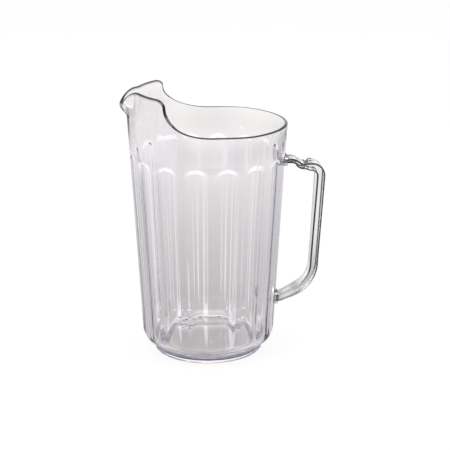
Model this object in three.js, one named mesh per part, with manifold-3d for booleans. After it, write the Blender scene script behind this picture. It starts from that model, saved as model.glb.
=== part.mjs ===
// Clear moulded serving pitcher: a fluted, slightly conical shell with a raised pouring beak, and a
// strap handle whose flat tongue and lower spigot seat in two pockets on the shell.
// Millimetres, +Z up, the handle towards +X and the beak towards -X.
import * as THREE from "three";
import { mergeVertices } from "three/addons/utils/BufferGeometryUtils.js";
import Module from "manifold-3d";

const wasm = await Module();
wasm.setup();

// Shell: a cone from the shoulder to the rim, standing on a foot ring
const RIM_RADIUS = 64;
const RIM_HEIGHT = 190;
const SHOULDER_RADIUS = 54.2;
const SHOULDER_HEIGHT = 18;
const SHOULDER_FLARE_RISE = 3;
const FOOT_RADIUS = 44.4;
const FOOT_HEIGHT = 6;
const FOOT_RING_WIDTH = 5;
const FOOT_RING_EDGE = 0.8;
const FOOT_RECESS = 1.2;
const WALL = 3.2;
const RIM_WALL = 2.5;
const RIM_EDGE = 0.4;
const RIM_SLANT = 14;
const FLOOR = 3;

// Flutes: shallow scoops with arched tops, between narrow ribs
const FLUTE_COUNT = 16;
const FLUTE_DEPTH = 1.2;
const FLUTE_DROP = 23.5;
const FLUTE_ARCH = 4;
const FLUTE_FADE = 4;
const FLUTE_RUN_OUT = 24;
const RIB_WIDTH = 6.6;

// Raised lip: a long sweep up from the level rim, a small round ear, then a dip to the pouring tip
const EAR_RISE = 26.6;
const EAR_ROUND = 6;
const EAR_AHEAD = 36.3;
const SWEEP_LENGTH = 38.5;
const TIP_DROP = 11;
const DIP_LENGTH = 12.8;

// Beak: the mouth is drawn in at its front and flattened at its sides, and a blunt beak stands out of it
const DRAW_IN_DROP = 30;
const FRONT_DRAW_IN = 8;
const FRONT_ANGLE = 46;
const FRONT_BLEND_ANGLE = 22;
const SIDE_DRAW_IN = 9;
const SIDE_ANGLE = 93;
const SIDE_BLEND_ANGLE = 32;
const BEAK_HALF_WIDTH = 11.6;
const BEAK_ROOT_HALF_WIDTH = 18;
const BEAK_BLUNTNESS = 7;
const BEAK_ROOT_BLUNTNESS = 3;
const BEAK_FLARE = 5;
const BEAK_FLARE_HEIGHT = 8.5;
const BEAK_LIP_HEIGHT = 0.6;

// Handle: centre line in the XZ plane, and the strap's width and thickness along it
const TONGUE_DROP = 31.8;
const TONGUE_WIDTH = 16;
const TONGUE_THICKNESS = 3.8;
const TONGUE_NECK = 6;
const ARM_STEP = 4.7;
const ARM_STEP_LENGTH = 5;
const ARM_STEP_ROUND = 6;
const ARM_THICKNESS = 4.8;
const GRIP_WIDTH = 20;
const GRIP_THICKNESS = 6.8;
const GRIP_REACH = 29.5;
const GRIP_CORNER_ROUND = 7.5;
const SWEEP_ROUND = 27;
const SWEEP_WIDTH = 15.5;
const SPIGOT_HEIGHT = 41;
const SPIGOT_WIDTH = 12.6;
const SPIGOT_THICKNESS = 6.2;
const SPIGOT_NECK = 1.6;
const SPIGOT_ROUND = 4;
const LOWER_ARM_RISE = 13;
const LOWER_ARM_RUN = 27;
const STRAP_EDGE_ROUND = 1.2;

// Pockets: raised pads on the shell that take the handle's ends
const PAD_PROUD = 1.7;
const PAD_MARGIN = 1.8;
const PAD_CORNER = 2;
const SEAT_DEPTH = 3;
const SEAT_CLEARANCE = 0.3;
const PAD_ROOT = 0.4;

// Fineness of the curved faces
const SHOULDER_STEPS = 5;
const FLUTE_TOP_ROWS = [1.25, 0.85, 0.6, 0.4, 0.2, 0];
const UPPER_WALL_ROWS = [0.2, 0.4, 0.6, 0.8];
const LIP_PASSES = 30;
const FILLET_STEPS = 3;
const RIM_EDGE_STEPS = 2;
const CORNER_STEPS = 4;
const ARC_STEPS = 7;
const LINE_STEPS = 3;

const CLEAR_PLASTIC = { color: 0xdfe1e8, roughness: 0.08, metalness: 0 };
const EAR_TOP = RIM_HEIGHT + EAR_RISE;
const FLUTE_TOP = RIM_HEIGHT - FLUTE_DROP;
const FLOOR_TOP = FOOT_RECESS + FLOOR;
const FLOOR_ROUND = FOOT_HEIGHT - FLOOR_TOP;
const FLOOR_RADIUS = FOOT_RADIUS - WALL - FLOOR_ROUND;
const RIM_FALL = (RIM_WALL - 2 * RIM_EDGE) * Math.tan(THREE.MathUtils.degToRad(RIM_SLANT));
const RIM_FOOT = RIM_HEIGHT - RIM_FALL - RIM_EDGE;
const HALF_TURN = Math.PI;
const QUARTER_TURN = Math.PI / 2;

function smooth(x) {
  const t = THREE.MathUtils.clamp(x, 0, 1);
  return t * t * (3 - 2 * t);
}

function coneRadius(height) {
  const share = (height - SHOULDER_HEIGHT) / (RIM_HEIGHT - SHOULDER_HEIGHT);
  return THREE.MathUtils.lerp(SHOULDER_RADIUS, RIM_RADIUS, share);
}

// Angles run from the beak: 0 is the pouring tip, half a turn is the handle's plane.
function fromBeak(angle) {
  return Math.abs(Math.atan2(Math.sin(angle), Math.cos(angle)));
}

// How far the wall is drawn in at the front and at the two sides, growing from above the flutes to the ears
function drawIn(angle, height) {
  const degrees = THREE.MathUtils.radToDeg(fromBeak(angle));
  const start = RIM_HEIGHT - DRAW_IN_DROP;
  const growth = smooth((height - start) / (EAR_TOP - start));
  const front = FRONT_DRAW_IN * (1 - smooth((degrees - FRONT_ANGLE) / FRONT_BLEND_ANGLE));
  const side = SIDE_DRAW_IN * (1 - smooth(Math.abs(degrees - SIDE_ANGLE) / SIDE_BLEND_ANGLE));
  return growth * (front + side);
}

// 1 on the beak's nose, 0 on the wall beside it: broad and soft low down, narrow and blunt at the lip
function beakShare(angle, height) {
  const start = RIM_HEIGHT - DRAW_IN_DROP;
  const growth = smooth((height - start) / (EAR_TOP - start));
  const halfWidth = THREE.MathUtils.lerp(BEAK_ROOT_HALF_WIDTH, BEAK_HALF_WIDTH, growth);
  const bluntness = THREE.MathUtils.lerp(BEAK_ROOT_BLUNTNESS, BEAK_BLUNTNESS, growth);
  return 1 / (1 + Math.pow(fromBeak(angle) / (halfWidth / RIM_RADIUS), bluntness));
}

// Outside of the plain shell, without flutes
function shellRadius(angle, height) {
  const lipFoot = EAR_TOP - TIP_DROP - BEAK_LIP_HEIGHT - BEAK_FLARE_HEIGHT;
  const flare = BEAK_FLARE * smooth((height - lipFoot) / BEAK_FLARE_HEIGHT);
  const share = beakShare(angle, height);
  return coneRadius(height) - drawIn(angle, height) * (1 - share) + flare * share;
}

// Thickness of the wall: even behind the flutes, thinner towards the rim
function wallAt(height) {
  const share = (height - FLUTE_TOP) / (RIM_FOOT - FLUTE_TOP);
  return THREE.MathUtils.lerp(WALL, RIM_WALL, smooth(share));
}

// Height of the lip seen from the side, at a distance ahead of the axis
function lipHeight(ahead) {
  const sweepStart = EAR_AHEAD - SWEEP_LENGTH;
  const sweepRise = EAR_RISE - EAR_ROUND;
  const dipStart = coneRadius(EAR_TOP - TIP_DROP) + BEAK_FLARE - DIP_LENGTH;
  const along = THREE.MathUtils.clamp((ahead - sweepStart) / SWEEP_LENGTH, 0, 1);
  const round = THREE.MathUtils.clamp(1 - (ahead - EAR_AHEAD) / EAR_ROUND, 0, 1);
  const dip = Math.max(0, (ahead - dipStart) / DIP_LENGTH);
  if (ahead < EAR_AHEAD) return RIM_HEIGHT + sweepRise * (1 - Math.sqrt(1 - along * along));
  return EAR_TOP - EAR_ROUND * (1 - Math.sqrt(1 - round * round)) - TIP_DROP * dip * dip;
}

// Height of the lip at an angle, where the wall's own lean decides how far ahead it stands
function lipAt(angle) {
  let height = EAR_TOP;
  for (let pass = 0; pass < LIP_PASSES; pass++) {
    const ahead = shellRadius(angle, height) * Math.cos(fromBeak(angle));
    height = (height + lipHeight(ahead)) / 2;
  }
  return height;
}

// Share of a flute's width that a rib's half takes at each end
const RIB_SHARE = (RIB_WIDTH / 2 * FLUTE_COUNT) / (2 * Math.PI * coneRadius(FLUTE_TOP));

function fluteCut(angle, height) {
  const turn = (fromBeak(angle) * FLUTE_COUNT) / (2 * Math.PI);
  const across = (2 * (turn - Math.floor(turn) - RIB_SHARE)) / (1 - 2 * RIB_SHARE) - 1;
  const hollow = Math.max(0, 1 - across * across);
  const archTop = FLUTE_TOP - FLUTE_ARCH * across * across;
  const fade = smooth((archTop - height) / FLUTE_FADE) * smooth((height - FOOT_HEIGHT) / FLUTE_RUN_OUT);
  return FLUTE_DEPTH * hollow * fade;
}

// Angles of the shell's columns: the rib edges are met exactly, and the flutes at the beak and at the
// foot of the ears get twice as many
function columnAngles() {
  const pitch = (2 * Math.PI) / FLUTE_COUNT;
  const inner = (0.5 - RIB_SHARE) / 2;
  const marks = [0, RIB_SHARE, RIB_SHARE + inner, 0.5, 1 - RIB_SHARE - inner, 1 - RIB_SHARE, 1];
  const angles = [];
  for (let sector = 0; sector < FLUTE_COUNT; sector++) {
    const fromFront = fromBeak((sector + 0.5) * pitch);
    const atBeak = fromFront < pitch;
    const atEar = Math.abs(fromFront - Math.acos(EAR_AHEAD / RIM_RADIUS)) < pitch / 2;
    const parts = atBeak || atEar ? 2 : 1;
    for (let mark = 0; mark < marks.length - 1; mark++) {
      for (let part = 0; part < parts; part++) {
        const share = THREE.MathUtils.lerp(marks[mark], marks[mark + 1], part / parts);
        angles.push((sector + share) * pitch);
      }
    }
  }
  return angles;
}

// Rows of the shell's section, from the middle of the underside round the rim to the middle of the floor.
// A row on the wall has a depth below the outside, and follows the beak and the lip. The rim slants outwards
// between two small rounded edges. Inside, the shoulder and the edge over the foot are one wall thickness
// in from the outside, and a small round leads down to the floor.
function shellRows() {
  const rows = [];
  const revolved = (radius, height) => rows.push({ radius, height });
  const onWall = (height, depth) => rows.push({ radius: coneRadius(height) - depth, height, depth });
  revolved(0, FOOT_RECESS);
  revolved(FOOT_RADIUS - FOOT_RING_WIDTH - FOOT_RING_EDGE, FOOT_RECESS);
  revolved(FOOT_RADIUS - FOOT_RING_WIDTH, 0);
  revolved(FOOT_RADIUS - FOOT_RING_EDGE, 0);
  revolved(FOOT_RADIUS, FOOT_RING_EDGE);
  const shoulder = new THREE.QuadraticBezierCurve(
    new THREE.Vector2(FOOT_RADIUS, FOOT_HEIGHT),
    new THREE.Vector2(SHOULDER_RADIUS, FOOT_HEIGHT + SHOULDER_FLARE_RISE),
    new THREE.Vector2(SHOULDER_RADIUS, SHOULDER_HEIGHT),
  );
  for (const point of shoulder.getPoints(SHOULDER_STEPS).slice(0, -1)) {
    rows.push({ radius: point.x, height: point.y, fluted: true });
  }
  onWall(SHOULDER_HEIGHT, 0);
  onWall((SHOULDER_HEIGHT + FLUTE_TOP) / 2, 0);
  const archFoot = FLUTE_ARCH + FLUTE_FADE;
  for (const share of FLUTE_TOP_ROWS) onWall(FLUTE_TOP - share * archFoot, 0);
  const upperHeights = UPPER_WALL_ROWS.map((share) => THREE.MathUtils.lerp(FLUTE_TOP, RIM_FOOT, share));
  for (const height of upperHeights) onWall(height, 0);
  for (let step = 0; step <= RIM_EDGE_STEPS; step++) {
    const share = step / RIM_EDGE_STEPS;
    onWall(RIM_FOOT + RIM_EDGE * (1 - (1 - share) ** 2), RIM_EDGE * share ** 2);
  }
  for (let step = 0; step <= RIM_EDGE_STEPS; step++) {
    const share = step / RIM_EDGE_STEPS;
    onWall(RIM_HEIGHT - RIM_EDGE * share ** 2, RIM_WALL - RIM_EDGE * (1 - share) ** 2);
  }
  for (const height of upperHeights.reverse()) onWall(height, wallAt(height));
  onWall(FLUTE_TOP, WALL);
  onWall(SHOULDER_HEIGHT, WALL);
  for (let step = SHOULDER_STEPS - 1; step >= 0; step--) {
    const place = shoulder.getPoint(step / SHOULDER_STEPS);
    const along = shoulder.getTangent(step / SHOULDER_STEPS);
    revolved(place.x - WALL * along.y, place.y + WALL * along.x);
  }
  const footTurn = shoulder.getTangent(0).angle() + QUARTER_TURN;
  for (let step = 1; step <= FILLET_STEPS; step++) {
    const turn = THREE.MathUtils.lerp(footTurn, HALF_TURN, step / FILLET_STEPS);
    revolved(FOOT_RADIUS + WALL * Math.cos(turn), FOOT_HEIGHT + WALL * Math.sin(turn));
  }
  for (let step = 1; step <= FILLET_STEPS; step++) {
    const turn = (step / FILLET_STEPS) * QUARTER_TURN;
    revolved(FLOOR_RADIUS + FLOOR_ROUND * Math.cos(turn), FOOT_HEIGHT - FLOOR_ROUND * Math.sin(turn));
  }
  revolved(0, FLOOR_TOP);
  return rows;
}

// A wall point: lifted with the lip, then set below the outside along the wall's own normal
function wallPoint(angle, lift, row) {
  const liftable = RIM_FOOT - FLUTE_TOP;
  const z = row.height + lift * THREE.MathUtils.clamp((row.height - FLUTE_TOP) / liftable, 0, 1);
  const radius = shellRadius(angle, z);
  const small = 1e-3;
  const slope = (shellRadius(angle + small, z) - shellRadius(angle - small, z)) / (2 * small);
  const length = Math.hypot(radius, slope);
  const cut = row.depth === 0 ? fluteCut(angle, z) : 0;
  const along = radius - (row.depth * radius) / length - cut;
  const across = (row.depth * slope) / length;
  return new THREE.Vector3(
    -along * Math.cos(angle) + across * Math.sin(angle),
    along * Math.sin(angle) + across * Math.cos(angle),
    z,
  );
}

function shellGeometry() {
  const rows = shellRows();
  const angles = columnAngles();
  const outline = rows.map((row) => new THREE.Vector2(row.radius, row.height));
  const geometry = new THREE.LatheGeometry(outline, angles.length);
  const position = geometry.getAttribute("position");
  for (let column = 0; column <= angles.length; column++) {
    const angle = -angles[column % angles.length];
    const lift = lipAt(angle) - RIM_HEIGHT;
    rows.forEach((row, index) => {
      const radius = row.radius - (row.fluted ? fluteCut(angle, row.height) : 0);
      const point = row.depth === undefined
        ? new THREE.Vector3(-radius * Math.cos(angle), radius * Math.sin(angle), row.height)
        : wallPoint(angle, lift, row);
      position.setXYZ(column * rows.length + index, point.x, point.y, point.z);
    });
  }
  return geometry;
}

// A round-cornered bar along X, used for the pads and for the pockets cut in them
function bar(fromX, toX, centreZ, width, thickness, corner) {
  const halfWidth = width / 2;
  const halfThickness = thickness / 2;
  const outline = new THREE.Shape();
  outline.absarc(halfWidth - corner, halfThickness - corner, corner, 0, QUARTER_TURN);
  outline.absarc(corner - halfWidth, halfThickness - corner, corner, QUARTER_TURN, HALF_TURN);
  outline.absarc(corner - halfWidth, corner - halfThickness, corner, HALF_TURN, HALF_TURN + QUARTER_TURN);
  outline.absarc(halfWidth - corner, corner - halfThickness, corner, -QUARTER_TURN, 0);
  const geometry = new THREE.ExtrudeGeometry(outline, {
    depth: toX - fromX,
    bevelEnabled: false,
    curveSegments: CORNER_STEPS,
  });
  const axes = new THREE.Matrix4().makeBasis(
    new THREE.Vector3(0, 1, 0),
    new THREE.Vector3(0, 0, 1),
    new THREE.Vector3(1, 0, 0),
  );
  return geometry.applyMatrix4(axes).translate(fromX, 0, centreZ);
}

function solidOf(geometry) {
  const bare = geometry.clone();
  for (const name of ["normal", "uv"]) bare.deleteAttribute(name);
  const merged = mergeVertices(bare, 1e-4);
  return new wasm.Manifold(new wasm.Mesh({
    numProp: 3,
    vertProperties: new Float32Array(merged.getAttribute("position").array),
    triVerts: new Uint32Array(merged.index.array),
  }));
}

function geometryOf(solid) {
  const mesh = solid.getMesh();
  const geometry = new THREE.BufferGeometry();
  geometry.setAttribute("position", new THREE.BufferAttribute(mesh.vertProperties, 3));
  geometry.setIndex(new THREE.BufferAttribute(mesh.triVerts, 1));
  geometry.computeVertexNormals();
  return geometry;
}

// The two seats of the handle: where each end enters the shell, and the size of the end
const SEATS = [
  { height: RIM_HEIGHT - TONGUE_DROP, width: TONGUE_WIDTH, thickness: TONGUE_THICKNESS },
  { height: SPIGOT_HEIGHT, width: SPIGOT_WIDTH, thickness: SPIGOT_THICKNESS },
];
const edgeRound = (thickness) => Math.min(STRAP_EDGE_ROUND, 0.45 * thickness);
const padFace = (seat) => coneRadius(seat.height) + PAD_PROUD;
const pocketFloor = (seat) => padFace(seat) - SEAT_DEPTH;

function shellWithPockets() {
  let shell = solidOf(shellGeometry());
  for (const seat of SEATS) {
    const padBack = coneRadius(seat.height) - WALL + PAD_ROOT;
    const pad = bar(padBack, padFace(seat), seat.height,
      seat.width + 2 * PAD_MARGIN, seat.thickness + 2 * PAD_MARGIN, PAD_CORNER);
    const pocket = bar(pocketFloor(seat), padFace(seat) + PAD_PROUD, seat.height,
      seat.width + 2 * SEAT_CLEARANCE, seat.thickness + 2 * SEAT_CLEARANCE,
      edgeRound(seat.thickness) + SEAT_CLEARANCE);
    shell = shell.add(solidOf(pad)).subtract(solidOf(pocket));
  }
  return geometryOf(shell);
}

// Corners of the strap's centre line in the XZ plane, each with its rounding and its section there
function strapCorners() {
  const [top, low] = SEATS;
  const stepStart = padFace(top) + TONGUE_NECK;
  const armHeight = top.height - ARM_STEP;
  const lowTurn = padFace(low) + SPIGOT_NECK;
  const at = (x, z, round, width, thickness) => ({ point: new THREE.Vector2(x, z), round, width, thickness });
  return [
    at(pocketFloor(top) + SEAT_CLEARANCE, top.height, 0, TONGUE_WIDTH, TONGUE_THICKNESS),
    at(stepStart, top.height, ARM_STEP_ROUND, TONGUE_WIDTH, TONGUE_THICKNESS),
    at(stepStart + ARM_STEP_LENGTH, armHeight, ARM_STEP_ROUND, TONGUE_WIDTH, ARM_THICKNESS),
    at(coneRadius(armHeight) + GRIP_REACH, armHeight, GRIP_CORNER_ROUND, GRIP_WIDTH, GRIP_THICKNESS),
    at(lowTurn + LOWER_ARM_RUN, low.height + LOWER_ARM_RISE, SWEEP_ROUND, SWEEP_WIDTH, GRIP_THICKNESS),
    at(lowTurn, low.height, SPIGOT_ROUND, SPIGOT_WIDTH, SPIGOT_THICKNESS),
    at(pocketFloor(low) + SEAT_CLEARANCE, low.height, 0, SPIGOT_WIDTH, SPIGOT_THICKNESS),
  ];
}

// The round corner between two straight runs of the centre line
function cornerArc(before, corner, after) {
  const back = before.point.clone().sub(corner.point).normalize();
  const ahead = after.point.clone().sub(corner.point).normalize();
  const half = Math.acos(back.dot(ahead)) / 2;
  const centre = back.clone().add(ahead).setLength(corner.round / Math.sin(half)).add(corner.point);
  const reach = corner.round / Math.tan(half);
  const start = back.clone().multiplyScalar(reach).add(corner.point).sub(centre);
  const end = ahead.clone().multiplyScalar(reach).add(corner.point).sub(centre);
  const clockwise = back.cross(ahead) > 0;
  return new THREE.EllipseCurve(centre.x, centre.y, corner.round, corner.round,
    start.angle(), end.angle(), clockwise);
}

// Stations along the strap, each with its place, direction and section
function strapStations() {
  const corners = strapCorners();
  const stations = [];
  let from = corners[0];
  const addRun = (curve, steps, to) => {
    for (let step = stations.length ? 1 : 0; step <= steps; step++) {
      const share = smooth(step / steps);
      stations.push({
        point: curve.getPoint(step / steps),
        direction: curve.getTangent(step / steps),
        width: THREE.MathUtils.lerp(from.width, to.width, share),
        thickness: THREE.MathUtils.lerp(from.thickness, to.thickness, share),
      });
    }
    from = to;
  };
  let place = from.point;
  for (let i = 1; i < corners.length - 1; i++) {
    const arc = cornerArc(corners[i - 1], corners[i], corners[i + 1]);
    addRun(new THREE.LineCurve(place, arc.getPoint(0)), LINE_STEPS, corners[i]);
    addRun(arc, ARC_STEPS, corners[i]);
    place = arc.getPoint(1);
  }
  const last = corners[corners.length - 1];
  addRun(new THREE.LineCurve(place, last.point), LINE_STEPS, last);
  return stations;
}

// One point of a round-cornered section: across the strap's thickness, and along its width
function sectionPoint(index, width, thickness) {
  const perCorner = CORNER_STEPS + 1;
  const corner = Math.floor(index / perCorner);
  const turn = (corner + (index % perCorner) / CORNER_STEPS) * QUARTER_TURN;
  const round = edgeRound(thickness);
  const side = corner === 0 || corner === 3 ? 1 : -1;
  const face = corner < 2 ? 1 : -1;
  return new THREE.Vector2(
    side * (thickness / 2 - round) + round * Math.cos(turn),
    face * (width / 2 - round) + round * Math.sin(turn),
  );
}

function handleGeometry() {
  const stations = strapStations();
  const around = 4 * (CORNER_STEPS + 1);
  const geometry = new THREE.CylinderGeometry(1, 1, 1, around, stations.length - 1);
  const position = geometry.getAttribute("position");
  for (let i = 0; i < position.count; i++) {
    const turn = Math.atan2(position.getX(i), position.getZ(i)) / (2 * Math.PI);
    const index = Math.round(turn * around + around) % around;
    const station = stations[Math.round((0.5 - position.getY(i)) * (stations.length - 1))];
    const spread = Math.round(Math.hypot(position.getX(i), position.getZ(i)));
    const section = sectionPoint(index, station.width, station.thickness).multiplyScalar(spread);
    position.setXYZ(
      i,
      station.point.x - section.x * station.direction.y,
      section.y,
      station.point.y + section.x * station.direction.x,
    );
  }
  return geometry;
}

function piece(name, geometry) {
  const mesh = new THREE.Mesh(geometry, new THREE.MeshStandardMaterial(CLEAR_PLASTIC));
  mesh.name = name;
  return mesh;
}

const pitcher = new THREE.Group();
pitcher.add(piece("body_shell", shellWithPockets()), piece("handle", handleGeometry()));

// The origin lies under the middle of the overall box, on the surface that the foot ring stands on
const middle = new THREE.Box3().setFromObject(pitcher).getCenter(new THREE.Vector3());
for (const mesh of pitcher.children) mesh.position.set(-middle.x, -middle.y, 0);

export default pitcher;
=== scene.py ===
# %% [markdown]
# # A clear fluted pitcher
# The object is a serving pitcher moulded in clear plastic: a fluted shell with a raised pouring lip,
# and a strap handle whose two ends sit in pockets on the wall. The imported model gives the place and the
# size of both pieces. Here each piece is made again from the same few sizes, but fine enough for light
# to pass through it cleanly.

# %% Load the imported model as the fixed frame
import math

import bmesh
import bpy
import numpy as np
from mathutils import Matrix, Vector


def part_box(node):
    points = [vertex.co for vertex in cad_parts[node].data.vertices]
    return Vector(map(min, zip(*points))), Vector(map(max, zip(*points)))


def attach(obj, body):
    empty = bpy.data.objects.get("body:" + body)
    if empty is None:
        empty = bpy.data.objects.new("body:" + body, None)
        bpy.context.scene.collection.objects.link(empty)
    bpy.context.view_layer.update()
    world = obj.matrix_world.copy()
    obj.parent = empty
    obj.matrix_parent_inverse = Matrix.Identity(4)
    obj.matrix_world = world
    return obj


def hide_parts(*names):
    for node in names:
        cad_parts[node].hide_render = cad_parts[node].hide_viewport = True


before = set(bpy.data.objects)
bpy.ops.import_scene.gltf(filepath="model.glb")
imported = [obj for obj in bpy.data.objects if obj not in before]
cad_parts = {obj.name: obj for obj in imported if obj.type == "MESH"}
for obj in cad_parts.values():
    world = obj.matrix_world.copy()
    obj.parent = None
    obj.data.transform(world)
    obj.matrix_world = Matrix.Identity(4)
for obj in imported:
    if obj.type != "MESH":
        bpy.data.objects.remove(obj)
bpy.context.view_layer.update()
MM = 0.001

# %% [markdown]
# ## The cone that everything hangs on
# The wall is a plain cone from the shoulder to the level part of the rim. Lengths are millimetres from
# the pitcher's own axis. The frame's origin lies under the middle of the overall box, so the axis is
# found from the shell's box: its farthest point towards the handle is the outside of the rim. The top
# of the rim isn't flat. It falls a little towards the outside between two small rounded edges, so that
# drops run off it. Blender has a ready cone, but a formula is used, because the lip, the flutes, the
# pads and the handle are all measured from it.

# %% Wall sizes and the axis
RIM_RADIUS = 64.0
RIM_HEIGHT = 190.0
SHOULDER_RADIUS = 54.2
SHOULDER_HEIGHT = 18.0
WALL = 3.2
RIM_WALL = 2.5
RIM_EDGE = 0.4
RIM_SLANT = math.radians(14)
RIM_FALL = (RIM_WALL - 2 * RIM_EDGE) * math.tan(RIM_SLANT)
RIM_FOOT = RIM_HEIGHT - RIM_FALL - RIM_EDGE


def cone_radius(height):
    share = (height - SHOULDER_HEIGHT) / (RIM_HEIGHT - SHOULDER_HEIGHT)
    return SHOULDER_RADIUS + (RIM_RADIUS - SHOULDER_RADIUS) * share


AXIS_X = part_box("body_shell")[1][0] / MM - cone_radius(RIM_FOOT)
print("axis of the shell at x =", round(AXIS_X, 2), "mm")

# %% [markdown]
# ## The camera
# The photograph looks slightly down on the pitcher from about a metre away, with a long lens. The place
# and the lens were found by matching the ellipses of the rim and of the foot, so they are written as
# real distances.

# %% Camera
CAMERA_PLACE = Vector((-51.2, -1047.6, 428.7))
CAMERA_TARGET = Vector((13.9, -0.7, 103.5))
CAMERA_LENS = 107.6


def from_axis(point):
    return (Vector(point) + Vector((AXIS_X, 0, 0))) * MM


scene = bpy.context.scene
camera = bpy.data.objects.new("camera", bpy.data.cameras.new("camera"))
camera.data.lens = CAMERA_LENS
camera.location = from_axis(CAMERA_PLACE)
camera.rotation_euler = (CAMERA_TARGET - CAMERA_PLACE).to_track_quat("-Z", "Y").to_euler()
scene.collection.objects.link(camera)
scene.camera = camera
scene.view_settings.view_transform = "Standard"
print("camera", [round(c, 3) for c in camera.location], "lens", CAMERA_LENS)

# %% [markdown]
# ## The drawn-in mouth
# Seen from above, the mouth isn't a circle: towards the top it is drawn in on both sides of the beak
# and flattened at the sides. This could be sculpted by hand. A formula is used instead, because it
# gives the same surface at any fineness, inside and outside. Angles are counted from the beak.

# %% Mouth sizes and formula
EAR_RISE = 26.6
DRAW_IN_DROP = 30.0
FRONT_DRAW_IN = 8.0
FRONT_ANGLE = 46.0
FRONT_BLEND_ANGLE = 22.0
SIDE_DRAW_IN = 9.0
SIDE_ANGLE = 93.0
SIDE_BLEND_ANGLE = 32.0
EAR_TOP = RIM_HEIGHT + EAR_RISE
DRAW_IN_START = RIM_HEIGHT - DRAW_IN_DROP


def smooth(x):
    t = np.clip(x, 0, 1)
    return t * t * (3 - 2 * t)


def blend(a, b, share):
    return a + (b - a) * share


def from_beak(angle):
    return np.abs(np.arctan2(np.sin(angle), np.cos(angle)))


def lip_growth(height):
    return smooth((height - DRAW_IN_START) / (EAR_TOP - DRAW_IN_START))


def draw_in(angle, height):
    degrees = np.degrees(from_beak(angle))
    front = FRONT_DRAW_IN * (1 - smooth((degrees - FRONT_ANGLE) / FRONT_BLEND_ANGLE))
    side = SIDE_DRAW_IN * (1 - smooth(np.abs(degrees - SIDE_ANGLE) / SIDE_BLEND_ANGLE))
    return lip_growth(height) * (front + side)


drawn_in = float(draw_in(np.radians(FRONT_ANGLE), EAR_TOP))
print("drawn in beside the beak, at the top:", round(drawn_in, 1), "mm")

# %% [markdown]
# ## The beak
# A blunt beak stands out of the drawn-in front. It starts low on the wall as a wide, soft swelling,
# gets narrower and squarer towards the top, and its lip flares out by a few millimetres so that the
# stream breaks off cleanly. It could be a piece of its own that is joined on. One more formula on top
# of the last is used instead, so that the wall runs into it without a seam.

# %% Beak sizes and formula
TIP_DROP = 11.0
BEAK_HALF_WIDTH = 11.6
BEAK_ROOT_HALF_WIDTH = 18.0
BEAK_BLUNTNESS = 7.0
BEAK_ROOT_BLUNTNESS = 3.0
BEAK_FLARE = 5.0
BEAK_FLARE_HEIGHT = 8.5
BEAK_LIP_HEIGHT = 0.6


def beak_share(angle, height):
    half_width = blend(BEAK_ROOT_HALF_WIDTH, BEAK_HALF_WIDTH, lip_growth(height))
    bluntness = blend(BEAK_ROOT_BLUNTNESS, BEAK_BLUNTNESS, lip_growth(height))
    return 1 / (1 + (from_beak(angle) * RIM_RADIUS / half_width) ** bluntness)


def shell_radius(angle, height):
    lip_foot = EAR_TOP - TIP_DROP - BEAK_LIP_HEIGHT - BEAK_FLARE_HEIGHT
    flare = BEAK_FLARE * smooth((height - lip_foot) / BEAK_FLARE_HEIGHT)
    share = beak_share(angle, height)
    return cone_radius(height) - draw_in(angle, height) * (1 - share) + flare * share


tip_reach = float(shell_radius(np.array(0.0), EAR_TOP - TIP_DROP))
print("the beak's tip is", round(tip_reach, 1), "mm from the axis")

# %% [markdown]
# ## The height of the lip
# Seen from the side, the rim runs level, sweeps up in a quarter ellipse, turns over a small round ear
# and dips to the pouring tip. The height depends on how far ahead of the axis a point lies, and that
# depends on the height again, so the two are brought together in a few steps of averaging. A taller
# wall could be cut to this line instead, but a cut leaves uneven faces along the edge, just where light
# shows them.

# %% Lip sizes and formula
EAR_ROUND = 6.0
EAR_AHEAD = 36.3
SWEEP_LENGTH = 38.5
DIP_LENGTH = 12.8
SETTLING_STEPS = 40


def lip_height(ahead):
    along = np.clip((ahead - EAR_AHEAD + SWEEP_LENGTH) / SWEEP_LENGTH, 0, 1)
    turn = np.clip(1 - (ahead - EAR_AHEAD) / EAR_ROUND, 0, 1)
    dip_start = cone_radius(EAR_TOP - TIP_DROP) + BEAK_FLARE - DIP_LENGTH
    dip = np.maximum(0, (ahead - dip_start) / DIP_LENGTH)
    sweep = RIM_HEIGHT + (EAR_RISE - EAR_ROUND) * (1 - np.sqrt(1 - along**2))
    ear = EAR_TOP - EAR_ROUND * (1 - np.sqrt(1 - turn**2)) - TIP_DROP * dip**2
    return np.where(ahead < EAR_AHEAD, sweep, ear)


def lip_at(angle):
    height = np.full_like(angle, EAR_TOP)
    for _ in range(SETTLING_STEPS):
        ahead = shell_radius(angle, height) * np.cos(from_beak(angle))
        height = (height + lip_height(ahead)) / 2
    return height


print("lip at the tip, the ear and the handle:", np.round(lip_at(np.radians([0.0, 30.0, 180.0])), 1))

# %% [markdown]
# ## The flutes
# Sixteen shallow scoops with arched tops run down the outside, with narrow ribs between them, and fade
# out over the last few centimetres above the foot. They are a depth taken from the outside of the wall,
# so the inside stays smooth, as on the real moulding, where a plain core forms the inside. Sixteen
# cutters would make them too, but couldn't let them fade out so softly.

# %% Flute sizes and formula
FLUTE_COUNT = 16
FLUTE_DEPTH = 1.2
FLUTE_DROP = 23.5
FLUTE_ARCH = 4.0
FLUTE_FADE = 4.0
FLUTE_RUN_OUT = 24.0
RIB_WIDTH = 6.6
FOOT_HEIGHT = 6.0
FLUTE_TOP = RIM_HEIGHT - FLUTE_DROP
RIB_SHARE = RIB_WIDTH / 2 * FLUTE_COUNT / (2 * math.pi * cone_radius(FLUTE_TOP))


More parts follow.
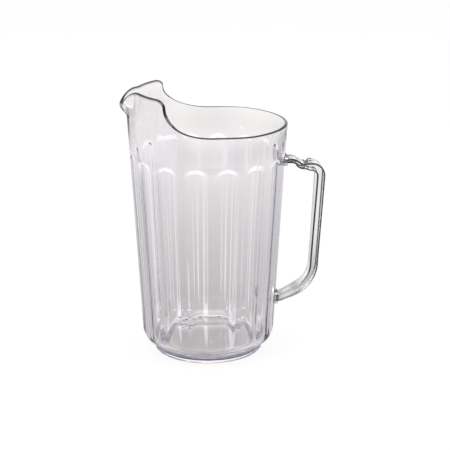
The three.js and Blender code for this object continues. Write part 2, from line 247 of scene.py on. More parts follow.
def flute_cut(angle, height):
    turn = from_beak(angle) * FLUTE_COUNT / (2 * math.pi)
    across = 2 * (turn - np.floor(turn) - RIB_SHARE) / (1 - 2 * RIB_SHARE) - 1
    hollow = np.maximum(0, 1 - across**2)
    arch_top = FLUTE_TOP - FLUTE_ARCH * across**2
    top_fade = smooth((arch_top - height) / FLUTE_FADE)
    foot_fade = smooth((height - FOOT_HEIGHT) / FLUTE_RUN_OUT)
    return FLUTE_DEPTH * hollow * top_fade * foot_fade


middle_of_flute = np.array(math.pi / FLUTE_COUNT)
print("flute at half height:", round(float(flute_cut(middle_of_flute, RIM_HEIGHT / 2)), 2), "mm deep")

# %% [markdown]
# ## The section of the shell
# The shell is one closed skin: from the middle of the underside out over the foot ring, up the outside,
# over the rim, down the inside and back to the middle of the floor. It is made of rings, one for each
# row of the section. A row is a radius, a height and a depth. With no depth the ring is a plain circle,
# the word fluted cuts the flutes into it, and a number puts the ring that far below the outside of the
# lip's formula. A revolved curve would be quicker, but it couldn't follow the beak and the flutes.

# %% Rows of the foot and the shoulder
FOOT_RADIUS = 44.4
FOOT_RING_WIDTH = 5.0
FOOT_RING_EDGE = 0.8
FOOT_RECESS = 1.2
SHOULDER_FLARE_RISE = 3.0
ROUND_STEPS = 6
FLAT_STEPS = 4
SHOULDER_STEPS = 20
RING_INSIDE = FOOT_RADIUS - FOOT_RING_WIDTH


def spread(start, end, count):
    return np.linspace(start, end, count, endpoint=False)


def shoulder_point(share):
    radius = blend(FOOT_RADIUS, SHOULDER_RADIUS, 1 - (1 - share) ** 2)
    control = FOOT_HEIGHT + SHOULDER_FLARE_RISE
    curve = FOOT_HEIGHT * (1 - share) ** 2 + 2 * control * share * (1 - share)
    return radius, curve + SHOULDER_HEIGHT * share**2


recess = spread(0, RING_INSIDE - FOOT_RING_EDGE, ROUND_STEPS)
foot_rows = [(radius, FOOT_RECESS, None) for radius in recess]
for share in spread(0, 1, ROUND_STEPS):
    radius = RING_INSIDE - FOOT_RING_EDGE * (1 - share)
    foot_rows.append((radius, FOOT_RECESS * (1 - smooth(share)), None))
standing_face = spread(RING_INSIDE, FOOT_RADIUS - FOOT_RING_EDGE, FLAT_STEPS)
foot_rows += [(radius, 0.0, None) for radius in standing_face]
for turn in spread(0, math.pi / 2, ROUND_STEPS):
    radius = FOOT_RADIUS - FOOT_RING_EDGE * (1 - math.sin(turn))
    foot_rows.append((radius, FOOT_RING_EDGE * (1 - math.cos(turn)), None))
foot_rows += [(FOOT_RADIUS, height, None) for height in spread(FOOT_RING_EDGE, FOOT_HEIGHT, FLAT_STEPS)]
shoulder_rows = [(*shoulder_point(share), "fluted") for share in spread(0, 1, SHOULDER_STEPS)]
print("rows of the foot and the shoulder:", len(foot_rows), len(shoulder_rows))

# %% [markdown]
# Rows crowd together where light bends most: above at the foot and the shoulder, and here at the arched
# flute tops and at the two rounded edges of the rim.

# %% Rows of the outside and the rim
ARCH_BAND = 10.0
WALL_STEPS = 14
LIP_STEPS = 26
RIM_EDGE_ROWS = 7
ARCH_FOOT = FLUTE_TOP - ARCH_BAND
outside_heights = [
    *spread(SHOULDER_HEIGHT, ARCH_FOOT, WALL_STEPS),
    *spread(ARCH_FOOT, FLUTE_TOP, LIP_STEPS),
    *spread(FLUTE_TOP, RIM_FOOT, LIP_STEPS),
]
outside_rows = [(0.0, height, 0.0) for height in outside_heights]
rim_rows = []
for share in np.linspace(0, 1, RIM_EDGE_ROWS):
    rim_rows.append((0.0, RIM_FOOT + RIM_EDGE * (1 - (1 - share) ** 2), RIM_EDGE * share**2))
for share in np.linspace(0, 1, RIM_EDGE_ROWS):
    depth = RIM_WALL - RIM_EDGE * (1 - share) ** 2
    rim_rows.append((0.0, RIM_HEIGHT - RIM_EDGE * share**2, depth))
print("rows of the outside and the rim:", len(outside_rows), len(rim_rows))

# %% [markdown]
# The inside keeps a nearly even wall all the way down, as a moulding has to, or it would sink and warp
# as it cools. It follows the outside of the shoulder one wall thickness away, turns round the notch
# above the foot, and meets the floor in a small round. A plain corner there would leave a thin spot,
# and would show as a broken line through the wall.

# %% Rows of the inside
FLOOR = 3.0
NOTCH_STEPS = 8
FLOOR_STEPS = 7
FLOOR_TOP = FOOT_RECESS + FLOOR
FLOOR_ROUND = FOOT_HEIGHT - FLOOR_TOP
FLOOR_RADIUS = FOOT_RADIUS - WALL - FLOOR_ROUND


def wall_at(height):
    return blend(WALL, RIM_WALL, smooth((height - FLUTE_TOP) / (RIM_FOOT - FLUTE_TOP)))


def inner_shoulder_point(share):
    radius, height = shoulder_point(share)
    out = (SHOULDER_RADIUS - FOOT_RADIUS) * (1 - share)
    upper_rise = SHOULDER_HEIGHT - FOOT_HEIGHT - SHOULDER_FLARE_RISE
    rise = blend(SHOULDER_FLARE_RISE, upper_rise, share)
    length = math.hypot(out, rise)
    return radius - WALL * rise / length, height + WALL * out / length


inside_heights = [
    *spread(RIM_FOOT, FLUTE_TOP, LIP_STEPS),
    *spread(FLUTE_TOP, SHOULDER_HEIGHT, WALL_STEPS),
]
inside_rows = [(0.0, height, wall_at(height)) for height in inside_heights]
inside_rows += [(*inner_shoulder_point(share), None) for share in spread(1, 0, SHOULDER_STEPS)]
notch = math.atan2(SHOULDER_RADIUS - FOOT_RADIUS, -SHOULDER_FLARE_RISE)
for turn in spread(notch, math.pi, NOTCH_STEPS):
    radius = FOOT_RADIUS + WALL * math.cos(turn)
    inside_rows.append((radius, FOOT_HEIGHT + WALL * math.sin(turn), None))
for turn in spread(0, math.pi / 2, NOTCH_STEPS):
    radius = FLOOR_RADIUS + FLOOR_ROUND * math.cos(turn)
    inside_rows.append((radius, FOOT_HEIGHT - FLOOR_ROUND * math.sin(turn), None))
inside_rows += [(radius, FLOOR_TOP, None) for radius in np.linspace(FLOOR_RADIUS, 0, FLOOR_STEPS)]
rows = foot_rows + shoulder_rows + outside_rows + rim_rows + inside_rows
print("rows of the whole shell:", len(rows))

# %% [markdown]
# ## Columns and rings
# The columns stand at even angles, with more of them at the beak and at the ears, where the lip turns
# quickly. Columns as close as that all round would be simpler, but would need 60 percent more faces.

# %% Columns
STEPS_PER_FLUTE = 24


def column_angles():
    pitch = 2 * math.pi / FLUTE_COUNT
    ear_angle = math.acos(EAR_AHEAD / RIM_RADIUS)
    angles = []
    for flute in range(FLUTE_COUNT):
        middle = float(from_beak(np.array((flute + 0.5) * pitch)))
        close = middle < pitch or abs(middle - ear_angle) < pitch / 2
        steps = STEPS_PER_FLUTE * (2 if close else 1)
        angles += list(flute * pitch + pitch * np.arange(steps) / steps)
    return np.array(angles)


angle = column_angles()
print("columns:", len(angle))

# %% [markdown]
# Above the flutes each column is stretched up to its own lip. The inside is set one wall thickness
# below the outside, square to it in plan, so that the beak has an even wall too.

# %% Rings
SMALL_TURN = 1e-3


def plain_ring(radius, height, angle):
    x = -radius * np.cos(angle)
    y = radius * np.sin(angle)
    return np.stack([x, y, np.full_like(angle, height)], axis=1)


def lip_ring(height, depth, angle, lift):
    z = height + lift * np.clip((height - FLUTE_TOP) / (RIM_FOOT - FLUTE_TOP), 0, 1)
    out = shell_radius(angle, z)
    growth = shell_radius(angle + SMALL_TURN, z) - shell_radius(angle - SMALL_TURN, z)
    slope = growth / (2 * SMALL_TURN)
    length = np.hypot(out, slope)
    scoop = flute_cut(angle, z) if depth == 0 else 0
    along = out - depth * out / length - scoop
    across = depth * slope / length
    x = -along * np.cos(angle) + across * np.sin(angle)
    y = along * np.sin(angle) + across * np.cos(angle)
    return np.stack([x, y, z], axis=1)


def ring_of(row, angle, lift):
    radius, height, depth = row
    if depth is None:
        return plain_ring(radius, height, angle)
    if depth == "fluted":
        return plain_ring(radius - flute_cut(angle, np.full_like(angle, height)), height, angle)
    return lip_ring(height, depth, angle, lift)


lift = lip_at(angle) - RIM_HEIGHT
rings = [ring_of(row, angle, lift) for row in rows[1:-1]]
print("rings:", len(rings))

# %% [markdown]
# ## The dark edges
# On the real pitcher the cut of the rim looks nearly black, because light that enters the wall there
# runs down inside it and hardly any comes back. A render would need very many bounces to show that, so
# that shade is painted instead: the points on top of the rim carry painted shade, which the material
# mixes towards near black. Round the beak and the ears the painted shade goes just over the inner edge
# as well, because the lip leans out there and its edge shows wider. The foot ring has a weaker painted
# shadow where it stands on the table, standing in for the little light that gets in under it.

# %% Marks of the shell
BEAK_EDGE_ANGLE = math.radians(54)
BEAK_EDGE_FADE = math.radians(8)
CONTACT_HEIGHT = 0.5
CONTACT_SHADE = 0.62

# Painted shade, not a colour of the plastic: full on top of the rim, over the inner edge near the beak,
# weaker under the foot ring.
beak_edge_shade = 1 - smooth((from_beak(angle) - BEAK_EDGE_ANGLE) / BEAK_EDGE_FADE)


def row_painted_shades(row):
    if row in (rim_rows[-1], inside_rows[0]):
        return list(beak_edge_shade)
    if row in rim_rows[1:-1]:
        return [1.0] * len(angle)
    if row in foot_rows and row[1] < CONTACT_HEIGHT:
        return [CONTACT_SHADE] * len(angle)
    return [0.0] * len(angle)


shades = [0.0]
for row in rows[1:-1]:
    shades += row_painted_shades(row)
shades.append(0.0)
print("marked points:", sum(shade > 0 for shade in shades), "of", len(shades))

# %% [markdown]
# ## The shell
# The rings are joined into one mesh of four sided faces, with a fan of triangles in the middle of the
# underside and of the floor. It is closed, because the plastic's colour depends on how far light runs
# between going in and coming out.

# %% Shell mesh


def mesh_object(name, points, faces, shades):
    mesh = bpy.data.meshes.new(name)
    mesh.from_pydata([tuple(from_axis(point)) for point in points], [], faces)
    # The attribute carries painted shade for the dark edges, which the material mixes towards near black.
    mark = mesh.attributes.new("painted_edge_shade", "FLOAT", "POINT")
    mark.data.foreach_set("value", shades)
    made = bpy.data.objects.new(name, mesh)
    scene.collection.objects.link(made)
    return made


def shell_faces(count, rings, top):
    faces = []
    last = 1 + (rings - 1) * count
    for column in range(count):
        following = (column + 1) % count
        faces.append((0, 1 + column, 1 + following))
        for ring in range(rings - 1):
            low = 1 + ring * count
            high = low + count
            faces.append((low + following, low + column, high + column, high + following))
        faces.append((top, last + following, last + column))
    return faces


points = np.concatenate([[[0, 0, FOOT_RECESS]], *rings, [[0, 0, FLOOR_TOP]]])
faces = shell_faces(len(angle), len(rings), len(points) - 1)
shell = mesh_object("clear_shell", points, faces, shades)
print("shell:", len(shell.data.vertices), "vertices")

# %% [markdown]
# ## Round cornered bars
# Pads, pockets and the handle all have the same kind of section, a rectangle with rounded corners. A
# bevelled cube would do for the pads alone. A list of points does for all three. Each corner has one
# more point on both sides of its round, so that the painted dark line along the strap's edges can fade
# out there.

# %% Round cornered bars
CORNER_STEPS = 8
CORNER_MARGIN = 0.25
QUARTERS = [(1, 1), (-1, 1), (-1, -1), (1, -1)]


def rounded_section(width, thickness, corner):
    steps = [(0, -CORNER_MARGIN)]
    steps += [(step, 0.0) for step in range(CORNER_STEPS + 1)]
    steps += [(CORNER_STEPS, CORNER_MARGIN)]
    points = []
    for quarter, (side, face) in enumerate(QUARTERS):
        for step, beyond in steps:
            turn = (quarter + step / CORNER_STEPS) * math.pi / 2
            up = side * (thickness / 2 - corner) + corner * math.cos(turn) - beyond * math.sin(turn)
            across = face * (width / 2 - corner) + corner * math.sin(turn) + beyond * math.cos(turn)
            points.append((up, across))
    return points


def tube_faces(around, stations):
    faces = [tuple(reversed(range(around)))]
    for station in range(stations - 1):
        low = station * around
        high = low + around
        for step in range(around):
            following = (step + 1) % around
            faces.append((low + step, low + following, high + following, high + step))
    faces.append(tuple(range((stations - 1) * around, stations * around)))
    return faces


def bar(name, from_x, to_x, height, width, thickness, corner):
    section = rounded_section(width, thickness, corner)
    points = [(x, across, height + up) for x in (to_x, from_x) for up, across in section]
    return mesh_object(name, points, tube_faces(len(section), stations=2), [0.0] * len(points))


print("points round a bar:", len(rounded_section(width=10, thickness=5, corner=1)))

# %% [markdown]
# ## The pockets for the handle
# Two low pads stand on the wall, and each has a pocket for an end of the handle: a flat tongue at the
# top and a thicker spigot below. A pad is a bar joined to the wall, and its pocket a slightly larger
# bar taken away. The joining is a boolean, because a clear piece must have no hidden faces inside it:
# each of them would show as a ghost line.

# %% Sizes of the pads and pockets
PAD_PROUD = 1.7
PAD_MARGIN = 1.8
PAD_CORNER = 2.0
PAD_ROOT = 0.4
SEAT_DEPTH = 3.0
SEAT_CLEARANCE = 0.3
STRAP_EDGE_ROUND = 1.2
LARGEST_ROUND_SHARE = 0.45
TONGUE_DROP = 31.8
TONGUE_WIDTH = 16.0
TONGUE_THICKNESS = 3.8
SPIGOT_HEIGHT = 41.0
SPIGOT_WIDTH = 12.6
SPIGOT_THICKNESS = 6.2
SEATS = [
    (RIM_HEIGHT - TONGUE_DROP, TONGUE_WIDTH, TONGUE_THICKNESS),
    (SPIGOT_HEIGHT, SPIGOT_WIDTH, SPIGOT_THICKNESS),
]


def edge_round(thickness):
    return min(STRAP_EDGE_ROUND, LARGEST_ROUND_SHARE * thickness)


def pad_face(height):
    return cone_radius(height) + PAD_PROUD


def pocket_floor(height):
    return pad_face(height) - SEAT_DEPTH


print("pockets at heights", [seat[0] for seat in SEATS], "mm")

# %% [markdown]
# Each boolean is applied at once and its tool removed, so that the shell stays one plain mesh. A
# modifier that is left in place would render the same, but the smoothing further on needs the finished
# faces.

# %% Pads and pockets


def joined(target, tool, operation):
    step = target.modifiers.new(operation.lower(), "BOOLEAN")
    step.operation = operation
    step.solver = "EXACT"
    step.object = tool
    bpy.context.view_layer.update()
    ready = target.evaluated_get(bpy.context.evaluated_depsgraph_get())
    result = bpy.data.meshes.new_from_object(ready)
    target.modifiers.clear()
    target.data = result
    bpy.data.objects.remove(tool)


for height, width, thickness in SEATS:
    root = cone_radius(height) - WALL + PAD_ROOT
    margin = 2 * PAD_MARGIN
    pad = bar("pad", root, pad_face(height), height, width + margin, thickness + margin, PAD_CORNER)
    joined(shell, pad, "UNION")
    gap = 2 * SEAT_CLEARANCE
    mouth = pad_face(height) + PAD_PROUD
    corner = edge_round(thickness) + SEAT_CLEARANCE
    pocket = bar("pocket", pocket_floor(height), mouth, height, width + gap, thickness + gap, corner)
    joined(shell, pocket, "DIFFERENCE")
print("shell with pockets:", len(shell.data.vertices), "vertices")

# %% [markdown]
# ## The handle
# The handle is a strap with rounded edges. It leaves the upper pocket as a thin tongue, steps down,
# turns over the thumb corner into the wide grip, and sweeps back into the lower pocket. Each row below
# is a corner of its centre line, how round the corner is, and the strap's width and thickness there.

# %% Handle sizes
TONGUE_NECK = 6.0
ARM_STEP = 4.7
ARM_STEP_LENGTH = 5.0
ARM_STEP_ROUND = 6.0
ARM_THICKNESS = 4.8
GRIP_WIDTH = 20.0
GRIP_THICKNESS = 6.8
GRIP_REACH = 29.5
GRIP_CORNER_ROUND = 7.5
SWEEP_ROUND = 27.0
SWEEP_WIDTH = 15.5
SPIGOT_NECK = 1.6
SPIGOT_ROUND = 4.0
LOWER_ARM_RISE = 13.0
LOWER_ARM_RUN = 27.0


def strap_corners():
    top, low = SEATS[0][0], SEATS[1][0]
    step_start = pad_face(top) + TONGUE_NECK
    arm = top - ARM_STEP
    low_turn = pad_face(low) + SPIGOT_NECK
    arm_end = low_turn + LOWER_ARM_RUN
    return [
        ((pocket_floor(top) + SEAT_CLEARANCE, top), 0, TONGUE_WIDTH, TONGUE_THICKNESS),
        ((step_start, top), ARM_STEP_ROUND, TONGUE_WIDTH, TONGUE_THICKNESS),
        ((step_start + ARM_STEP_LENGTH, arm), ARM_STEP_ROUND, TONGUE_WIDTH, ARM_THICKNESS),
        ((cone_radius(arm) + GRIP_REACH, arm), GRIP_CORNER_ROUND, GRIP_WIDTH, GRIP_THICKNESS),
        ((arm_end, low + LOWER_ARM_RISE), SWEEP_ROUND, SWEEP_WIDTH, GRIP_THICKNESS),
        ((low_turn, low), SPIGOT_ROUND, SPIGOT_WIDTH, SPIGOT_THICKNESS),
        ((pocket_floor(low) + SEAT_CLEARANCE, low), 0, SPIGOT_WIDTH, SPIGOT_THICKNESS),
    ]


heights = [corner[0][1] for corner in strap_corners()]
print("heights of the centre line's corners:", [round(height, 1) for height in heights])

# %% [markdown]
# The centre line is made of straight runs, with an arc at each corner. A curve with a bevel would be
# quicker, but its section can't change from a flat tongue to a wide grip, so the handle is a loft:
# sections are set square to the line at many stations.

# %% Arcs of the centre line
ARC_STEPS = 48


def corner_arc(before, corner, after, rounding):
    back = (before - corner).normalized()
    ahead = (after - corner).normalized()
    half = math.acos(back.dot(ahead)) / 2
    centre = corner + (back + ahead).normalized() * rounding / math.sin(half)
    spoke = corner + back * rounding / math.tan(half) - centre
    turning = -math.copysign(math.pi - 2 * half, back.cross(ahead))
    arc = []
    for step in range(ARC_STEPS + 1):
        turn = turning * step / ARC_STEPS
        x = spoke.x * math.cos(turn) - spoke.y * math.sin(turn)
        y = spoke.x * math.sin(turn) + spoke.y * math.cos(turn)
        forward = Vector((-y, x)) * math.copysign(1 / rounding, turning)
        arc.append((centre + Vector((x, y)), forward))
    return arc


print("steps in each arc:", ARC_STEPS)

# %% [markdown]
# Along a straight run the section changes smoothly from one size to the next. A few stations would give
# the same form, but close ones keep the dark lines along the edges clean.

# %% Stations along the handle
RUN_STEPS = 20


def strap_stations():
    corners = strap_corners()
    places = [Vector(corner[0]) for corner in corners]
    stations = []
    start, size = places[0], corners[0][2:]
    for index in range(1, len(corners)):
        rounding, next_size = corners[index][1], corners[index][2:]
        arc = [(places[index], None)]
        if rounding:
            arc = corner_arc(*places[index - 1:index + 2], rounding)
        end = arc[0][0]
        forward = (end - start).normalized()
        for step in range(1 if stations else 0, RUN_STEPS + 1):
            share = float(smooth(step / RUN_STEPS))
            section = tuple(blend(a, b, share) for a, b in zip(size, next_size))
            stations.append((start.lerp(end, step / RUN_STEPS), forward, section))
        stations += [(place, ahead, next_size) for place, ahead in arc[1:]]
        start, size = arc[-1][0], next_size
    return stations


stations = strap_stations()
print("stations along the handle:", len(stations))

# %% [markdown]
# The rounded edges of the strap are so small that they bend all light away from the eye, and on the
# real handle they are the dark lines that draw its shape. They carry the same painted shade as the rim.
# It is full on each round, fades out over the small margin beside it, and is weaker on the lower arm,
# whose lines are paler in the photograph. Where the strap enters a pocket it carries painted shade all
# round, because the narrow gap there swallows light as well.

# %% Handle mesh
JOINT_REACH = 2.4
LOWER_ARM_LINES = 0.6
LINES_START = 50.0
LINES_FULL = 66.0

# Painted shade along the strap's edges: full on each round, none on the margin points beside it.
corner_shade = [0.0] + [1.0] * (CORNER_STEPS + 1) + [0.0]
section_shade = corner_shade * len(QUARTERS)
points = []
shades = []
for place, forward, (width, thickness) in stations:
    for up, across in rounded_section(width, thickness, edge_round(thickness)):
        points.append((place.x - up * forward.y, across, place.y + up * forward.x))
    # Painted shade all round where the strap enters a pocket.
    joint_shade = 1 - float(smooth(abs(place.x - pad_face(place.y)) / JOINT_REACH))
    higher = float(smooth((place.y - LINES_START) / (LINES_FULL - LINES_START)))
    lines = blend(LOWER_ARM_LINES, 1.0, higher)
    shades += [max(joint_shade, lines * shade) for shade in section_shade]
handle = mesh_object("clear_handle", points, tube_faces(len(section_shade), len(stations)), shades)
print("handle:", len(handle.data.vertices), "vertices")

# %% [markdown]
# ## Smooth faces, crisp edges
# Light that passes through clear plastic follows the shading normals, so faces are smoothed everywhere
# except across real edges, such as the rim of a pocket. Blender's own Smooth by Angle does this with a
# modifier. Here the edges are marked in the mesh itself, and the same pass counts edges that are left
# open.

# %% Smoothing
CRISP_ANGLE = math.radians(38)


def smooth_faces(made):
    work = bmesh.new()
    work.from_mesh(made.data)
    bmesh.ops.recalc_face_normals(work, faces=work.faces)
    for face in work.faces:
        face.smooth = True
    for edge in work.edges:
        edge.smooth = len(edge.link_faces) == 2 and edge.calc_face_angle(0) < CRISP_ANGLE
    open_edges = sum(len(edge.link_faces) != 2 for edge in work.edges)
    volume = work.calc_volume(signed=True) / MM**3
    work.to_mesh(made.data)
    work.free()
    print(made.name, "open edges", open_edges, "volume", round(volume), "mm3")


for piece in (shell, handle):
    smooth_faces(piece)

# %% [markdown]
# ## Colours and nodes
# Colours are written as the sRGB values that one reads off a screen, and one function turns them to the
# linear values that the renderer works in. One small function adds a node with its links, its settings
# and its values.

# %% Colour and node helpers


def linear(hex_colour):
    values = [int(hex_colour[i:i + 2], 16) / 255 for i in (1, 3, 5)]
    return [v / 12.92 if v <= 0.04045 else ((v + 0.055) / 1.055) ** 2.4 for v in values] + [1.0]


def add(tree, kind, links=None, settings=None, values=None):
    node = tree.nodes.new(kind)
    for name, value in (settings or {}).items():
        setattr(node, name, value)
    for socket, value in (values or {}).items():
        node.inputs[socket].default_value = value
    for socket, source in (links or {}).items():
        tree.links.new(source, node.inputs[socket])
    return node


def fresh_tree(owner):
    owner.use_nodes = True
    owner.node_tree.nodes.clear()
    return owner.node_tree


print("a mid grey is", round(linear("#808080")[0], 3), "in linear light")

# %% [markdown]
# ## Clear styrene plastic, injection moulded
# A clear styrene copolymer (SAN) is a hard, bright plastic with an index of refraction of about 1.57. A
# trace of violet toner hides its natural yellow cast. To the eye, thin walls are pale grey, and light
# that has run a long way inside the plastic, as in the thick foot, comes out darker and faintly violet:
# that is absorption in the volume. A tinted surface would be quicker, but it colours a thin wall as
# much as a thick one. The polished surface has faint long waves, about 26 mm apart and drawn out
# upwards, left by the flow in the mould, and fine rubbing marks that make it a little less sharp in
# places. Real rubbing marks are some hundredths of a millimetre wide, so they are drawn coarser here,
# at 1.6 mm, to show at all. Where the points carry painted shade, the colour mixes towards near
# black.

# %% Clear plastic
STYRENE_IOR = 1.57
FLOW_WAVE = 26.0
FLOW_STRETCH = 0.22
FLOW_HEIGHT = 1.2
FLOW_STRENGTH = 0.12
RUBBING_MARK = 1.6
RUBBED_ROUGHNESS = 0.045
COLOURS = {"data_type": "RGBA"}


def clear_plastic(name, tint, density):
    material = bpy.data.materials.new(name)
    tree = fresh_tree(material)
    place = add(tree, "ShaderNodeTexCoord").outputs["Object"]
    stretched = add(tree, "ShaderNodeMapping", {"Vector": place},
                    values={"Scale": (1, 1, FLOW_STRETCH)})
    waves = add(tree, "ShaderNodeTexNoise", {"Vector": stretched.outputs["Vector"]},
                values={"Scale": 1 / (FLOW_WAVE * MM), "Detail": 2.0, "Roughness": 0.45})
    marks = add(tree, "ShaderNodeTexNoise", {"Vector": place},
                values={"Scale": 1 / (RUBBING_MARK * MM), "Detail": 4.0, "Roughness": 0.6})
    rough = add(tree, "ShaderNodeMapRange", {"Value": marks.outputs["Fac"]},
                values={"From Min": 0.35, "From Max": 0.75, "To Min": 0.0, "To Max": RUBBED_ROUGHNESS})
    haze = add(tree, "ShaderNodeMapRange", {"Value": waves.outputs["Fac"]},
               values={"From Min": 0.3, "From Max": 0.7, "To Min": 0.0, "To Max": 1.0})
    clear = add(tree, "ShaderNodeMix", {"Factor": haze.outputs["Result"]}, COLOURS,
                {"A": linear("#ffffff"), "B": linear("#fafafd")})
    # Painted shade: where the attribute is set, the colour mixes towards near black.
    mark = add(tree, "ShaderNodeAttribute", settings={"attribute_name": "painted_edge_shade"})
    painted_dark_edges = add(tree, "ShaderNodeMix",
                {"Factor": mark.outputs["Fac"], "A": clear.outputs["Result"]}, COLOURS,
                {"B": linear("#06060c")})
    bump = add(tree, "ShaderNodeBump", {"Height": waves.outputs["Fac"]},
               values={"Strength": FLOW_STRENGTH, "Distance": FLOW_HEIGHT * MM})
    surface = add(tree, "ShaderNodeBsdfPrincipled",
                  {"Base Color": painted_dark_edges.outputs["Result"], "Roughness": rough.outputs["Result"],
                   "Normal": bump.outputs["Normal"]},
                  values={"IOR": STYRENE_IOR, "Transmission Weight": 1.0})
    inside = add(tree, "ShaderNodeVolumeAbsorption",
                 values={"Color": linear(tint), "Density": density})
    add(tree, "ShaderNodeOutputMaterial",
        {"Surface": surface.outputs["BSDF"], "Volume": inside.outputs["Volume"]})
    return material


shell_plastic = clear_plastic("moulded_clear_styrene_shell", tint="#b1a8ca", density=21.0)
handle_plastic = clear_plastic("moulded_clear_styrene_handle", tint="#b8b6c4", density=4.0)
print("plastics:", shell_plastic.name, handle_plastic.name)

# %% [markdown]
# ## Each piece stands for its solid
# Both pieces ride on the only body there is, since nothing on this pitcher moves. Each hides the solid
# that it stands for, and is given its own plastic.

# %% Ride, replace and slot
PIECES = [
    (shell, "body_shell", "clear_shell", shell_plastic),
    (handle, "handle", "clear_handle", handle_plastic),
]
for piece, node, slot, material in PIECES:
    piece.data.materials.clear()
    piece.data.materials.append(material)
    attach(piece, "root")
    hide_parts(node)
    print(piece.name, "stands for", node, "in", material.name)

# %% [markdown]
# ## The floor
# The pitcher stands on a wide sheet of white paper. A square plane would do as well. This sheet is
# round, so that it reaches equally far on every side. Rays that come through the plastic look past the
# sheet, into the room that is painted further on.

# %% Floor
PAPER_RADIUS = 4.0
PAPER_SIDES = 96
PAPER_DROP = 0.2

work = bmesh.new()
bmesh.ops.create_circle(work, cap_ends=True, segments=PAPER_SIDES, radius=PAPER_RADIUS)
paper_mesh = bpy.data.meshes.new("floor")
work.to_mesh(paper_mesh)
work.free()
floor = bpy.data.objects.new("floor", paper_mesh)
floor.location.z = -PAPER_DROP * MM
floor.visible_transmission = False
floor.visible_glossy = False
scene.collection.objects.link(floor)
print("floor of radius", PAPER_RADIUS, "m")

# %% [markdown]
# White paper is matt: its fibres scatter light evenly, without gloss. Most of its brightness is given
# to the camera alone, so that it is as white as the background and lights nothing, and the rest is real
# paper, which keeps the pitcher's soft shadow. More lamps would make it white too, but would bleach the
# pitcher.

# %% White paper
PAPER_WHITENESS = 0.88
TIMES = {"operation": "MULTIPLY"}

paper = bpy.data.materials.new("white_paper_matt")
tree = fresh_tree(paper)
matt = add(tree, "ShaderNodeBsdfDiffuse", values={"Color": linear("#f4f4f4")})
white = add(tree, "ShaderNodeEmission", values={"Color": linear("#ffffff"), "Strength": 1.0})
rays = add(tree, "ShaderNodeLightPath")
seen = add(tree, "ShaderNodeMath", {0: rays.outputs["Is Camera Ray"]}, TIMES, {1: PAPER_WHITENESS})
mixed = add(tree, "ShaderNodeMixShader",
            {0: seen.outputs[0], 1: matt.outputs["BSDF"], 2: white.outputs["Emission"]})
add(tree, "ShaderNodeOutputMaterial", {"Surface": mixed.outputs["Shader"]})
paper_mesh.materials.append(paper)
print("share of the paper's brightness for the camera alone:", PAPER_WHITENESS)

# %% [markdown]
# ## The room round the pitcher
# Clear plastic has hardly a colour of its own: what the eye sees in it is the room, bent by the wall.
# An upright wall bends a ray sideways but hardly changes how steeply it falls. So what shows through
# the rim comes from just below the horizon, and what shows through the foot from farther down. The room
# is painted by direction for that reason. It is white a little below the horizon, somewhat brighter at
# it, where the arched tops of the flutes look, greyer farther down, lighter again at the pitcher's foot
# and darker straight below. Above the horizon the walls of the room are dark, which draws the line
# along the far edge of the pitcher's floor, and the ceiling is pale. Each row below is a band: the two
# heights between which the brightness changes, as the upward part of a direction, and then its factor
# below and above. All the factors are multiplied.

# %% Brightness of the room by height
ROOM_BANDS = [
    ("paper under the pitcher", -0.97, -0.85, 0.62, 1.0),
    ("paper at its foot", -0.8, -0.5, 1.22, 1.0),
    ("paper in front and behind", -0.36, -0.2, 0.72, 1.0),
    ("horizon", -0.2, -0.1, 1.0, 1.2),
    ("dark walls of the room", 0.16, 0.28, 1.0, 0.34),
    ("pale ceiling", 0.4, 0.6, 1.0, 2.2),
]
STEP = {"interpolation_type": "SMOOTHSTEP"}

world = bpy.data.worlds.new("white_studio")
scene.world = world
tree = fresh_tree(world)
directions = add(tree, "ShaderNodeTexCoord").outputs["Generated"]
look = add(tree, "ShaderNodeSeparateXYZ", {0: directions})
up = look.outputs["Z"]
room = None
for name, start, end, below, above in ROOM_BANDS:
    band = add(tree, "ShaderNodeMapRange", {"Value": up}, STEP,
               {"From Min": start, "From Max": end, "To Min": below, "To Max": above}).outputs["Result"]
    room = add(tree, "ShaderNodeMath", {0: room, 1: band}, TIMES).outputs[0] if room else band
    print(name, "goes from", below, "to", above)

# %% [markdown]
# Sixteen narrow strips of light stand in a ring on an even, greyer ground, so that the pitcher looks
# much the same from every side. Each flute is a weak lens, and draws a strip out to a thin white line,
# as in the photograph. The strips fade out towards the horizon, because the plain upper part of the
# wall shows no lines there.

# %% Light strips round the pitcher
STRIPS = 16
STRIP_TURN = math.radians(11.25)
STRIP_LEVEL = 1.28
BETWEEN_LEVEL = 0.8
HIGH_LEVEL = 0.97
STRIP_EDGE = 0.55
STRIP_CORE = 0.98
STRIP_FADE_START = -0.34
STRIP_FADE_END = -0.25
NUMBERS = {"data_type": "FLOAT"}

around = add(tree, "ShaderNodeMath", {0: look.outputs["X"], 1: look.outputs["Y"]},
             {"operation": "ARCTAN2"})
phase = add(tree, "ShaderNodeMath", {0: around.outputs[0]}, {"operation": "MULTIPLY_ADD"},
            {1: STRIPS, 2: -STRIPS * STRIP_TURN})
wave = add(tree, "ShaderNodeMath", {0: phase.outputs[0]}, {"operation": "COSINE"})
lit = add(tree, "ShaderNodeMapRange", {"Value": wave.outputs[0]}, STEP,
          {"From Min": STRIP_EDGE, "From Max": STRIP_CORE, "To Min": 0.0, "To Max": 1.0})
fade = {"From Min": STRIP_FADE_START, "From Max": STRIP_FADE_END, "To Max": HIGH_LEVEL}
between = add(tree, "ShaderNodeMapRange", {"Value": up}, STEP, {**fade, "To Min": BETWEEN_LEVEL})
strip = add(tree, "ShaderNodeMapRange", {"Value": up}, STEP, {**fade, "To Min": STRIP_LEVEL})
ring = add(tree, "ShaderNodeMix",
           {"Factor": lit.outputs["Result"], "A": between.outputs["Result"],
            "B": strip.outputs["Result"]}, NUMBERS)
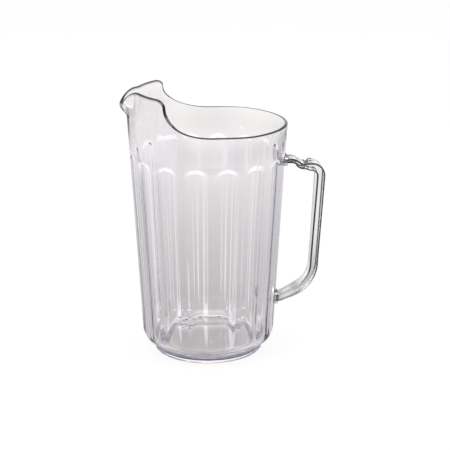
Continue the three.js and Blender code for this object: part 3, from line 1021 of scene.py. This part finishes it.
room = add(tree, "ShaderNodeMath", {0: room, 1: ring.outputs["Result"]}, TIMES).outputs[0]
print("strips:", STRIPS, "at", STRIP_LEVEL, "on a ground of", BETWEEN_LEVEL)

# %% [markdown]
# In the photograph the pitcher is a little lighter on the side of the handle, so the room is too. The
# camera itself sees plain white, matt surfaces are lit evenly, and what comes through the plastic is a
# trace warmer than white.

# %% What each kind of ray sees
SIDE_START = -0.15
SIDE_END = 0.25
DARKER_SIDE = 0.97
LIGHTER_SIDE = 1.035
DIFFUSE_LEVEL = 0.9

side = add(tree, "ShaderNodeMapRange", {"Value": look.outputs["X"]}, STEP,
           {"From Min": SIDE_START, "From Max": SIDE_END,
            "To Min": DARKER_SIDE, "To Max": LIGHTER_SIDE})
room = add(tree, "ShaderNodeMath", {0: room, 1: side.outputs["Result"]}, TIMES).outputs[0]
rays = add(tree, "ShaderNodeLightPath")
shown = add(tree, "ShaderNodeMix", {"Factor": rays.outputs["Is Camera Ray"], "A": room}, NUMBERS,
            {"B": 1.0})
level = add(tree, "ShaderNodeMix",
            {"Factor": rays.outputs["Is Diffuse Ray"], "A": shown.outputs["Result"]}, NUMBERS,
            {"B": DIFFUSE_LEVEL})
tone = add(tree, "ShaderNodeMix", {"Factor": rays.outputs["Is Transmission Ray"]}, COLOURS,
           {"A": linear("#ffffff"), "B": linear("#fffcf9")})
back = add(tree, "ShaderNodeBackground",
           {"Strength": level.outputs["Result"], "Color": tone.outputs["Result"]})
add(tree, "ShaderNodeOutputWorld", {"Surface": back.outputs["Background"]})
print("the camera sees white, matt surfaces are lit at", DIFFUSE_LEVEL)

# %% [markdown]
# ## The lamps
# Two tall strips at the sides and a broad one overhead give the small bright lines on the rim, the
# arches and the handle, and the soft shadow. A ray is followed through many surfaces, because a line of
# sight through both walls of the pitcher and its handle already crosses six, and light is mirrored
# inside the walls as well.

# %% Lamps and bounces
LAMP_AIM = Vector((0, 0, 0.1))
LAMPS = [
    ("left_strip", (-1.1, -0.9, 0.8), (0.25, 1.2), 8),
    ("right_strip", (1.3, -0.5, 0.7), (0.25, 1.2), 6),
    ("overhead", (0.0, 0.2, 1.8), (1.4, 1.4), 14),
]
for name, place, (width, height), watts in LAMPS:
    light = bpy.data.lights.new(name, "AREA")
    light.shape = "RECTANGLE"
    light.size = width
    light.size_y = height
    light.energy = watts
    lamp = bpy.data.objects.new(name, light)
    lamp.location = place
    lamp.rotation_euler = (LAMP_AIM - Vector(place)).to_track_quat("-Z", "Y").to_euler()
    scene.collection.objects.link(lamp)
    print(name, watts, "W")
scene.cycles.max_bounces = 32
scene.cycles.transmission_bounces = 32
scene.cycles.glossy_bounces = 16
